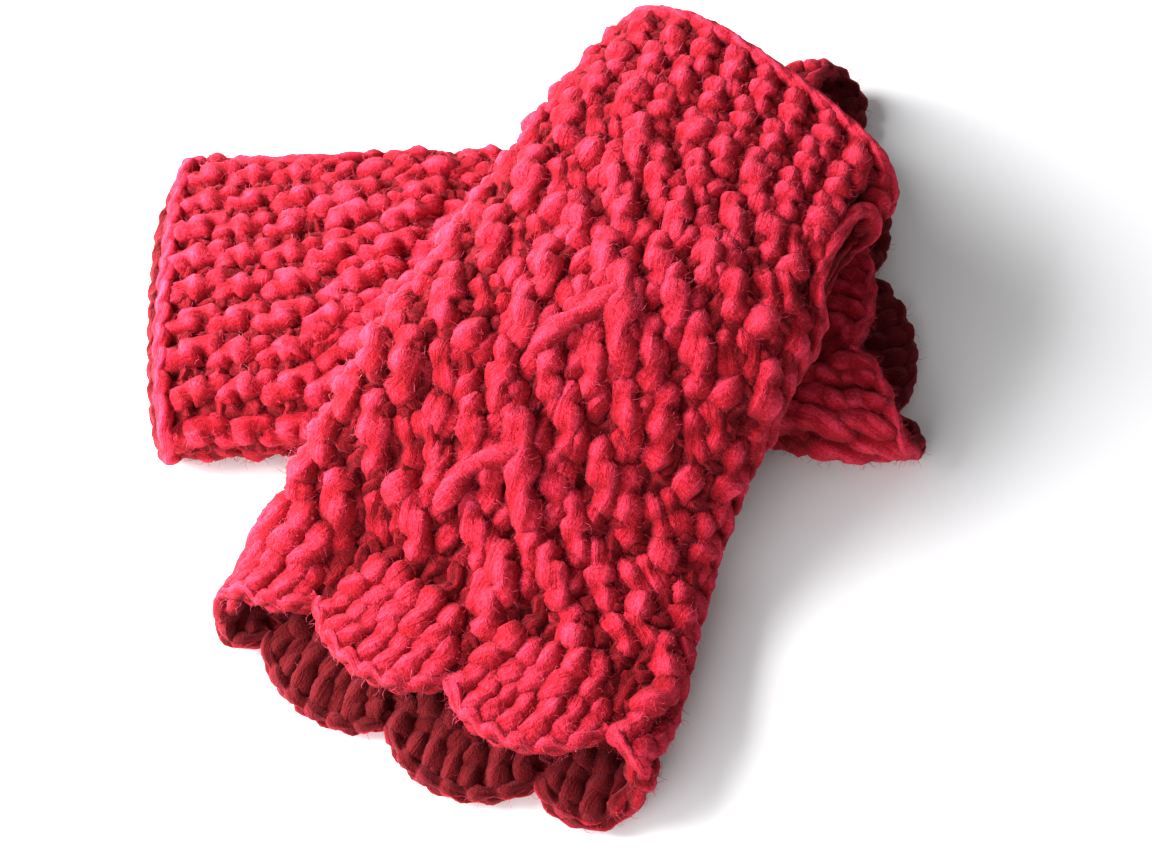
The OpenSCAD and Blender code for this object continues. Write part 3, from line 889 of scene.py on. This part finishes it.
class Stitch(NamedTuple):
    """One kind of stitch: wraps of yarn side by side that lean over a column.

    Its top is measured from the fabric's middle. Lengths are in metres and its lean is in radians.
    """

    span: float
    lean: float
    radius: float
    top: float
    bumps: int = 3
    wraps: int = 1
    apart: float = 0.0
    dip: float = 0.0032


RIB = Stitch(span=0.0172, lean=0.34, radius=0.0041, top=0.0046)
FOLD_RIB = Stitch(span=0.0172, lean=0.34, radius=0.0043, top=0.0050)
PLUMP = Stitch(span=0.0200, lean=0.42, radius=0.0047, top=0.0048)
NUB = Stitch(span=0.0112, lean=0.05, radius=0.0042, top=0.0043, bumps=1)
CLUSTER = Stitch(span=0.0126, lean=0.75, radius=0.0036, top=0.0036, bumps=2, wraps=2, apart=0.0050)
LANE = Stitch(span=0.0175, lean=0.46, radius=0.0041, top=-0.0007, dip=0.0036)
SHORT_POST = Stitch(span=0.0110, lean=0.10, radius=0.0031, top=0.0036, bumps=1)
SEWN = Stitch(span=0.0125, lean=0.75, radius=0.0028, top=0.0048, bumps=2)

# Distance between the ribs' stitches, and height of the stitches on the under layer, which lies flat
RIB_PITCH = 0.0125
UNDER_TOP = 0.0031
# Places of a nub and of a cluster in their row: along from its middle, in rows, and aside, in columns
NUB_PLACE = (-0.24, -0.08)
CLUSTER_PLACE = (0.25, 0.05)
# How far a plump stitch or a nub strays along and aside, a cluster likewise, a spare draw, and their lean
POST_STRAY = (0.0014, 0.07, 0.0014, 0.08, 0.0, 0.12)


def top_at(fabric, along, column, stitch):
    """The height of a stitch: its own on the upper layer, and lower on the under layer."""
    share = float(fabric.upper_side(along, column))
    return UNDER_TOP + (stitch.top - UNDER_TOP) * share


def beside_slit(fabric, along, column):
    """Whether a stitch there would lie over the thumb slit or its edging."""
    gap = (column + COLUMNS / 2) % COLUMNS - COLUMNS / 2
    return abs(gap) < SLIT_COLUMNS and fabric.size.slit_from - 0.002 < along < fabric.slit_end + 0.002


def on_panel(fabric, along, column):
    """Whether a place lies on the cable panel."""
    size = fabric.size
    half = size.cable_w / 2 / fabric.column_width(along)
    return abs(column - PANEL_MIDDLE) < half and size.cable_from < along < size.cable_from + size.cable_len


def work(strands, fabric, stitch, middle, top=None, turn=0.0):
    """Works one stitch at an [along, column], turned a little more, with its top at a height."""
    top = stitch.top if top is None else top
    lean = stitch.lean + turn
    width = fabric.column_width(middle[0])
    for n in range(stitch.wraps):
        side = n - (stitch.wraps - 1) / 2
        wobble = strands.random.uniform(-1, 1, 4) * (0.0006, 0.05, 0.0006, 0.05)
        along = middle[0] + side * stitch.apart * math.sin(lean)
        column = middle[1] + side * stitch.apart * math.cos(lean) / width
        run = stitch.span / 2 * math.cos(lean)
        over = stitch.span / 2 * math.sin(lean) / width
        start = (along - run + wobble[0], column + over + wobble[1])
        end = (along + run + wobble[2], column - over + wobble[3])
        height = top + strands.random.uniform(-0.0005, 0.0003)
        lobe(strands, fabric, start, end, height, stitch.radius, stitch.dip, bumps=stitch.bumps)


def build_cuff(fabric):
    """Raised ribs that run on from row to row."""
    size = fabric.size
    strands = Strands(11 + fabric.glove)
    for k in range(COLUMNS):
        column = k + 0.5
        along = size.rim_len + 0.0057 + strands.random.uniform(0, 0.003)
        while along < size.cuff_len + 0.004:
            if not beside_slit(fabric, along, column):
                work(strands, fabric, RIB, (along, column), top_at(fabric, along, column, RIB))
            along += RIB_PITCH
    return strands


def build_posts(fabric):
    """Columns of stitches up the hand: plump leaning ones, and upright nubs between looser clusters.

    The column on the fold away from the seam is a rib.
    """
    size = fabric.size
    strands = Strands(23 + fabric.glove)
    first = size.cuff_len + 0.005
    rows = round((size.tube_len - first) / size.row_len)
    step = (size.tube_len + 0.002 - first) / rows
    for k in range(COLUMNS):
        column = k + 0.5
        if k == COLUMNS // 2 - 1:
            for along in np.arange(first, size.tube_len, RIB_PITCH):
                work(strands, fabric, FOLD_RIB, (along, column), top_at(fabric, along, column, FOLD_RIB))
            continue
        plump = k % 2 == 0
        for row in range(-1, rows + 1):
            start = first + (row + (0.0 if plump else 0.5)) * step
            middle = start + step / 2
            if middle < first - 0.2 * step or middle > size.tube_len + 0.001:
                continue
            jig = strands.random.uniform(-1, 1, 6) * POST_STRAY
            if plump:
                parts = [(PLUMP, middle + jig[0], column + jig[1])]
            else:
                on, aside = NUB_PLACE
                nub = (NUB, middle + on * step + jig[0], column + aside + jig[1])
                on, aside = CLUSTER_PLACE
                parts = [nub, (CLUSTER, middle + on * step + jig[2], column + aside + jig[3])]
            for stitch, along, place in parts:
                if beside_slit(fabric, along, place) or on_panel(fabric, along, place):
                    continue
                work(strands, fabric, stitch, (along, place), top_at(fabric, along, place, stitch), jig[5])
    return strands


def build_fill(fabric):
    """Yarn that shows deep between the columns."""
    size = fabric.size
    strands = Strands(31 + fabric.glove)
    # The deep yarn takes painted shade, as it lies between the columns
    radius, shade = 0.0024, 0.68
    for k in range(2 * COLUMNS):
        column = k / 2
        by_slit = min(column, COLUMNS - column) < SLIT_COLUMNS
        start = fabric.slit_end + 0.002 if by_slit else size.rim_len
        along = np.arange(start, size.tube_len + 0.003, 0.0023)
        beat = 2 * math.pi * (along / (size.row_len / 3) + strands.random.uniform())
        depth = -0.0006 + 0.0007 * np.cos(beat) + (0.0006 if k % 2 else 0.0)
        sway = column + 0.10 * np.sin(beat / 2)
        strands.add(fabric.point, along, sway, depth, radius + 0.0003 * np.cos(beat), shade)
    return strands


def build_rows(fabric):
    """The thin loops that run round the glove behind each row."""
    size = fabric.size
    strands = Strands(37 + fabric.glove)
    # The row loops take painted shade, as they lie behind the stitches
    radius, shade = 0.0019, 0.62
    for n in range(1, 2 * round(size.tube_len / size.row_len) + 1):
        along = (n - 0.25) * size.row_len / 2
        columns = np.arange(0, COLUMNS, 0.25) + 0.25 * (n % 2)
        slit = size.slit_from < along < fabric.slit_end
        if slit:
            columns = columns[(columns > 1.1) & (columns < COLUMNS - 1.1)]
        wave = 0.0022 * np.cos(2 * math.pi * columns)
        depth = 0.0002 + 0.0010 * np.cos(4 * math.pi * columns)
        strands.add(fabric.point, along + wave, columns, depth, radius, shade, closed=not slit)
    return strands


def lane_place(fabric, lane, along):
    """The column where one of the cable's four lanes lies. The lanes spread towards the fans."""
    size = fabric.size
    share = (along - size.cable_from) / size.cable_len
    wander = 0.16 * math.sin(4 * math.pi * share + lane * 2.1)
    spread = 0.92 + 0.16 * float(smooth(0.7, 1.0, share))
    return PANEL_MIDDLE - ((lane - 1.5) * spread + wander) * size.cable_w / 4 / fabric.column_width(along)


def build_lanes(strands, fabric, rise):
    """Four lanes of leaning stitches, set closer together towards the fans."""
    size = fabric.size
    end = size.cable_from + size.cable_len
    for lane in range(4):
        along = size.cable_from + (0.0115 if lane % 2 else 0.0055)
        while along < end - 0.003:
            close = float(smooth(0.7, 0.9, (along - size.cable_from) / size.cable_len))
            place = lane_place(fabric, lane, along) + strands.random.uniform(-0.08, 0.08)
            lean = LANE.lean + 0.10 * close + strands.random.uniform(-0.12, 0.12)
            top = rise + LANE.top + strands.random.uniform(-0.0006, 0.0004)
            work(strands, fabric, LANE._replace(lean=lean), (along, place), top)
            along += 0.0145 - 0.0025 * close


def build_short_posts(strands, fabric):
    """Short posts between the lanes, in turn on odd and even places."""
    size = fabric.size
    pitch, across = 0.0092, 5
    for n in range(int(size.cable_len / pitch)):
        for m in range(across):
            along = size.cable_from + (n + 0.2 + 0.5 * (m % 2)) * pitch
            column = PANEL_MIDDLE - 1.9 + 0.95 * m + strands.random.uniform(-0.12, 0.12)
            work(strands, fabric, SHORT_POST, (along, column))


# Where the cable's strands cross, as a share of its length, and how many columns from its middle
CROSSINGS = ((0.375, -0.45), (0.715, 0.15))


def build_cable(fabric):
    """Lanes of leaning stitches over short posts, and crossings of a plump strand over a thin, bowed one."""
    size = fabric.size
    strands = Strands(41 + fabric.glove)
    rise = fabric.half_t + size.cable_rise
    build_lanes(strands, fabric, rise)
    build_short_posts(strands, fabric)
    for share, side in CROSSINGS:
        apex = size.cable_from + share * size.cable_len
        column = PANEL_MIDDLE + side
        plump = ((apex - 0.0085, column + 0.62), (apex + 0.0165, column - 0.80))
        lobe(strands, fabric, *plump, rise + 0.0010, 0.0045, 0.0040)
        thin = ((apex - 0.0035, column - 0.25), (apex + 0.0245, column + 1.35))
        lobe(strands, fabric, *thin, rise + 0.0006, 0.0033, 0.0030, bumps=2, slim=0.7, bow=0.30)
    return strands


def build_rim(fabric):
    """The chain that the glove is worked from, as two strands that swing across each other."""
    strands = Strands(53 + fabric.glove)
    radius = 0.0024
    columns = np.arange(0, COLUMNS, 0.125)
    for side in (-1, 1):
        swing = np.cos(2 * math.pi * columns * 1.5 + (0 if side < 0 else math.pi))
        depth = side * 0.0013 + 0.0004 * swing
        along = 0.0026 + 0.0005 * swing * side
        strands.add(fabric.point, along, columns, depth, radius, 0.0, closed=True)
    return strands


def slit_loop(fabric, inset, depth):
    """Places round the thumb slit just inside its edge, as how far along, the stations and the depths."""
    size = fabric.size
    near = size.slit_from + inset
    far = fabric.slit_end - inset
    turn = np.linspace(0, 2 * math.pi, 72, endpoint=False)
    along = (near + far) / 2 + (far - near) / 2 * np.sign(np.cos(turn)) * np.abs(np.cos(turn)) ** 0.7
    station = 0.72 * np.sign(np.sin(turn)) * np.abs(np.sin(turn)) ** 0.55
    return along, station, depth + 0.0003 * np.cos(turn * 12)


def build_slit_edge(fabric):
    """Two strands round the thumb slit, one over the other."""
    strands = Strands(59 + fabric.glove)
    inset, radius = 0.0014, 0.0023
    for side in (-1, 1):
        places = slit_loop(fabric, inset, 0.0012 * side)
        strands.add(fabric.at_station, *places, radius, 0.0, closed=True)
    return strands


def build_seam(fabric):
    """Slanted stitches sewn over the side seam, past the thumb slit."""
    size = fabric.size
    strands = Strands(61 + fabric.glove)
    start = fabric.slit_end + size.slit_edge_w
    pitch = 0.0085
    count = round((size.tube_len - start) / pitch)
    for n in range(count):
        along = start + (n + 0.35) * (size.tube_len - start) / count
        work(strands, fabric, SEWN, (along, 0.0))
    return strands


# ---- Fans ----


class FanRow(NamedTuple):
    """One row of a fan's stitches: where they start and end, as shares of the fan, and how far across."""

    posts: int
    outs: tuple
    reach: float
    radius: float


# How far a fan's stitch strays: its root across, its ends outwards, its tip across, and its height
FAN_STRAY = (0.07, 0.07, 0.07, 0.0005)
FAN_ROWS = (
    FanRow(posts=5, outs=(-0.16, 0.48), reach=0.66, radius=0.0044),
    FanRow(posts=7, outs=(0.30, 0.93), reach=0.84, radius=0.0038),
)


def fan_reach(size, share):
    """How far out a fan reaches, at a share of its half width from its middle."""
    return size.fan_side + (size.fan_depth - size.fan_side) * np.sqrt(np.maximum(0, 1 - share * share))


def fan_point(fabric, k, out, share, depth):
    """A point of fan k, from how far out it lies as a share of the fan there, and across, from -1 to 1."""
    size = fabric.size
    w = fabric.half_w(size.tube_len)
    h = fabric.half_h(size.tube_len)
    width = fabric.girth(w, h) / size.fan_count
    station = fabric.station_at((k + size.fan_phase) * width + share * width / 2, w, h)
    return fabric.at_station(size.tube_len + out * fan_reach(size, share), station, depth)


def fan_stitch(strands, place, outs, shares, radius, bumps, depth):
    """One stitch of a fan, from one place to another, each as far out and across."""
    t = np.linspace(0, 1, 4 * bumps + 3)
    arch = np.sin(math.pi * t) ** 0.4
    beat = math.pi * (bumps * t + strands.random.uniform(-0.1, 0.1))
    bump = np.abs(np.sin(beat)) ** 0.6
    out = outs[0] + (outs[1] - outs[0]) * t
    share = shares[0] + (shares[1] - shares[0]) * t + 0.03 * np.cos(beat)
    thick = radius * strands.random.uniform(0.9, 1.08) * (0.66 + 0.34 * arch) * (0.82 + 0.18 * bump)
    lift = depth + 0.0012 * (arch - 1) + 0.0005 * bump
    # Painted shade at the slim ends and between the bumps
    painted_shade = np.clip(0.7 * (1 - arch) + 0.3 * (1 - bump), 0, 1)
    strands.add(place, out, share, lift, thick, painted_shade)


def fan_edge(strands, size, place):
    """The chain round a fan's edge, as two strands that swing across each other."""
    edge = np.linspace(-1, 1, 60)
    for side in (-1, 1):
        beat = edge * math.pi * 6 + (0 if side < 0 else math.pi)
        inset = 1 - (0.0021 + 0.0004 * np.cos(beat)) / fan_reach(size, edge)
        depth = 0.0005 + side * 0.0012 + 0.0006 * np.cos(beat)
        thick = 0.0020 + 0.0004 * np.sin(beat)
        strands.add(place, inset, edge * 0.96, depth, thick, 0.0)


def build_fan_stitches(fabric):
    """Two rows of stitches that spread from the root of each fan, and the chain round its edge."""
    size = fabric.size
    strands = Strands(71 + fabric.glove)
    for k in range(size.fan_count):
        place = partial(fan_point, fabric, k)
        for row in FAN_ROWS:
            for n in range(row.posts):
                middle = (2 * n / (row.posts - 1) - 1) * row.reach
                jig = strands.random.uniform(-1, 1, 4) * FAN_STRAY
                shares = (middle * 0.84 - 0.08 + jig[0], middle * 1.02 + 0.08 + jig[2])
                ends = (row.outs[0] + jig[1], row.outs[1] + jig[1] * 0.5)
                fan_stitch(strands, place, ends, shares, row.radius, 2, 0.0006 + jig[3])
        # A strand along the fan's side at its notch, with painted shade
        notch = np.linspace(-0.15, 0.80, 9)
        strands.add(place, notch, 1.0 + 0 * notch, -0.0003 + 0 * notch, 0.0029, 0.6)
        fan_edge(strands, size, place)
    return strands


def build_fan_ground(fabric, k):
    """The closed layer behind the stitches of fan k."""
    far, side = np.meshgrid(np.linspace(0.0, 0.93, 12), np.linspace(-1, 1, 24), indexing="ij")
    outer = fan_point(fabric, k, far, side, 0.0014)
    inner = fan_point(fabric, k, far, side, -0.0004)
    return finish_ground(layer_mesh(f"fan_{k}", outer, inner, False), FAN_GROUND_PAINTED_SHADE)


# ---- Operators ----


class GloveStep:
    """A building step that works on one glove after the other."""

    def execute(self, context):
        for glove, name in GLOVES.items():
            self.build(glove, name, Fabric(context.scene.glove_sizes, glove))
        return {"FINISHED"}


class GLOVES_OT_grounds(GloveStep, bpy.types.Operator):
    """Make the closed layer of loops behind the stitches"""

    bl_idname = "gloves.grounds"
    bl_label = "Grounds"

    def build(self, glove, name, fabric):
        tubes = (name + "_hand_tube", name + "_knuckle_rounds")
        dress(name + "_ground", build_ground(fabric), glove, "wool", *tubes)
        for k in range(fabric.size.fan_count):
            dress(f"{name}_fan_ground_{k + 1}", build_fan_ground(fabric, k), glove, "wool")
        sweep(build_rows(fabric), name + "_row_loops", glove, "wool", hidden=True)
        sweep(build_fill(fabric), name + "_deep_loops", glove, "wool", hidden=True)


class GLOVES_OT_cuffs(GloveStep, bpy.types.Operator):
    """Work the ribbed cuffs and the plain rims"""

    bl_idname = "gloves.cuffs"
    bl_label = "Cuffs and Rims"

    def build(self, glove, name, fabric):
        cuff = sweep(build_cuff(fabric), name + "_cuff_posts", glove, "wool", name + "_ribbed_cuff")
        grow_fuzz(cuff, glove, "wool")
        sweep(build_rim(fabric), name + "_rim_chain", glove, "rim_wool", name + "_foundation_rim")
        sweep(build_slit_edge(fabric), name + "_slit_chain", glove, "rim_wool", name + "_thumb_slit_edge")


class GLOVES_OT_hands(GloveStep, bpy.types.Operator):
    """Work the hands' columns of stitches, the cables and the seams"""

    bl_idname = "gloves.hands"
    bl_label = "Hands"

    def build(self, glove, name, fabric):
        posts = sweep(build_posts(fabric), name + "_hand_posts", glove, "wool")
        grow_fuzz(posts, glove, "wool", crops=2)
        cable = sweep(build_cable(fabric), name + "_cable", glove, "wool", name + "_cable_panel")
        grow_fuzz(cable, glove, "wool")
        sweep(build_seam(fabric), name + "_seam_stitches", glove, "seam_wool", name + "_side_seam")


class GLOVES_OT_fans(GloveStep, bpy.types.Operator):
    """Work the fans round each mouth"""

    bl_idname = "gloves.fans"
    bl_label = "Fans"

    def build(self, glove, name, fabric):
        fans = sweep(build_fan_stitches(fabric), name + "_fans", glove, "wool", name + "_fan_edging")
        grow_fuzz(fans, glove, "wool")


class GLOVES_OT_stage(bpy.types.Operator):
    """Set up the floor, the lights and the camera"""

    bl_idname = "gloves.stage"
    bl_label = "Stage"

    def execute(self, context):
        make_floor()
        make_lights(context.scene)
        make_camera(context.scene)
        return {"FINISHED"}


# ---- Stage ----


# A low lamp on the left and a softer one in front: name, place, width in metres and power in watts
LAMPS = (
    ("key", (-0.45, 0.09, 0.235), 0.44, 16.5),
    ("fill", (-0.40, -0.46, 0.26), 0.60, 5.5),
)
LAMP_TARGET = (0.0, -0.03, 0.02)
AMBIENT = 0.26
# The floor glows to plain white between these distances from the middle, as far as the camera sees
GLOW_FROM = 0.24
GLOW_RUN = 0.26


def aim(thing, place, target):
    """Puts a lamp or camera at a place and points it at a target."""
    thing.location = place
    thing.rotation_euler = (Vector(target) - Vector(place)).to_track_quat("-Z", "Y").to_euler()


def make_floor():
    """A plain pale cloth just under the gloves, which shows their shadow."""
    mesh = bpy.data.meshes.new("floor")
    half = 3.0
    corners = [(-half, -half, 0), (half, -half, 0), (half, half, 0), (-half, half, 0)]
    mesh.from_pydata(corners, [], [(0, 1, 2, 3)])
    floor = add_object("floor", mesh)
    floor.location.z = -0.0002
    material = bpy.data.materials.new("floor_cloth")
    tree = empty_tree(material)
    seen = tree.number("ShaderNodeLightPath", output="Is Camera Ray")
    place = tree.node("ShaderNodeTexCoord").outputs["Object"]
    away = tree.number("ShaderNodeVectorMath", {"operation": "LENGTH"}, {0: place}, output=1)
    far = ((away - GLOW_FROM) / GLOW_RUN).clamped()
    glow = tree.vector("SCALE", (1.0, 0.995, 1.02), Scale=seen * (far * 0.8 + 0.01))
    shader = tree.node(
        "ShaderNodeBsdfPrincipled",
        {},
        {
            "Base Color": (0.86, 0.855, 0.87, 1.0),
            "Roughness": 0.95,
            "Emission Color": glow,
            "Emission Strength": 1.0,
        },
    )
    tree.node("ShaderNodeOutputMaterial", sockets={"Surface": shader.outputs[0]})
    mesh.materials.append(material)


def make_lights(scene):
    """A dim sky that the camera sees as white, and two soft lamps."""
    world = bpy.data.worlds.new("studio")
    tree = empty_tree(world)
    path = tree.node("ShaderNodeLightPath")
    kinds = ("Is Camera Ray", "Is Glossy Ray", "Is Transmission Ray")
    straight, glossy, through = (Number(tree.tree, path.outputs[kind]) for kind in kinds)
    seen = (straight + glossy + through).clamped()
    strength = seen * (1.0 - AMBIENT) + AMBIENT
    sky = tree.node("ShaderNodeBackground", {}, {"Color": (1.0, 1.0, 1.0, 1.0), "Strength": strength})
    tree.node("ShaderNodeOutputWorld", sockets={"Surface": sky.outputs[0]})
    scene.world = world
    for name, place, span, power in LAMPS:
        light = bpy.data.lights.new(name, "AREA")
        light.shape = "SQUARE"
        light.size = span
        light.energy = power
        aim(add_object(name, light), place, LAMP_TARGET)


def make_camera(scene):
    """A camera that looks down at the gloves from the front, turned a little."""
    lens = bpy.data.cameras.new("camera")
    lens.sensor_width = 36.0
    lens.lens = 45.67
    lens.clip_start = 0.01
    camera = add_object("camera", lens)
    elevation, turn, distance = math.radians(60), math.radians(3), 0.3765
    target = Vector((0.0095, -0.0511, 0.0200))
    flat = distance * math.cos(elevation)
    place = target + Vector((-flat * math.sin(turn), -flat * math.cos(turn), distance * math.sin(elevation)))
    aim(camera, place, target)
    scene.camera = camera
    scene.view_settings.view_transform = "Standard"


# ---- Panel and registration ----


class GLOVES_PT_panel(bpy.types.Panel):
    """Sizes, wool and building steps"""

    bl_label = "Crocheted Gloves"
    bl_space_type = "VIEW_3D"
    bl_region_type = "UI"
    bl_category = "Gloves"

    def draw(self, context):
        for group in (context.scene.glove_sizes, context.scene.wool_look):
            for name in group.bl_rna.properties.keys():
                if name not in ("rna_type", "name"):
                    self.layout.prop(group, name)
        for step in STEPS:
            self.layout.operator(step.bl_idname)


STEPS = (GLOVES_OT_grounds, GLOVES_OT_cuffs, GLOVES_OT_hands, GLOVES_OT_fans, GLOVES_OT_stage)
CLASSES = (GloveSizes, WoolLook, *STEPS, GLOVES_PT_panel)


def register():
    for kind in CLASSES:
        bpy.utils.register_class(kind)
    bpy.types.Scene.glove_sizes = PointerProperty(type=GloveSizes)
    bpy.types.Scene.wool_look = PointerProperty(type=WoolLook)


def unregister():
    del bpy.types.Scene.wool_look
    del bpy.types.Scene.glove_sizes
    for kind in reversed(CLASSES):
        bpy.utils.unregister_class(kind)


def main():
    register()
    bpy.ops.gloves.stage()
    bpy.ops.gloves.grounds()
    bpy.ops.gloves.cuffs()
    bpy.ops.gloves.hands()
    bpy.ops.gloves.fans()


if __name__ == "__main__":
    main()
